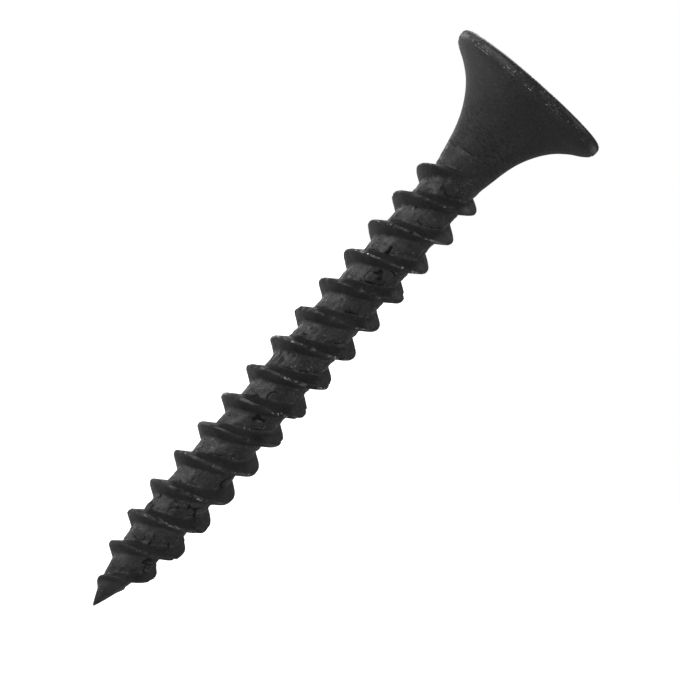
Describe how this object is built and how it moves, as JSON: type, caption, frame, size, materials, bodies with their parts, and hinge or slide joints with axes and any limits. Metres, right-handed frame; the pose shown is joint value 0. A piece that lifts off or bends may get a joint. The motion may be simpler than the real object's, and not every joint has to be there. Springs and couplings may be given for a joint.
{
  "type": "wood screw",
  "caption": "Black screw with a trumpet-shaped countersunk head, flat top with a cross recess, steep right-hand thread and sharp point.",
  "frame": {"origin": "centre of the head's flat top plane, at the mouth of the cross recess", "axes": "+Z along the screw's axis, out of the head; the point is at -Z; the recess wings lie along X and Y"},
  "size_m": [0.0084, 0.0084, 0.032],
  "materials": {
    "black_phosphate_steel": "matte to satin black phosphate over steel wire, worn bright in specks along thread crests and edges"
  },
  "bodies": {
    "root": {"screw": "black_phosphate_steel"}
  },
  "joints": []
}
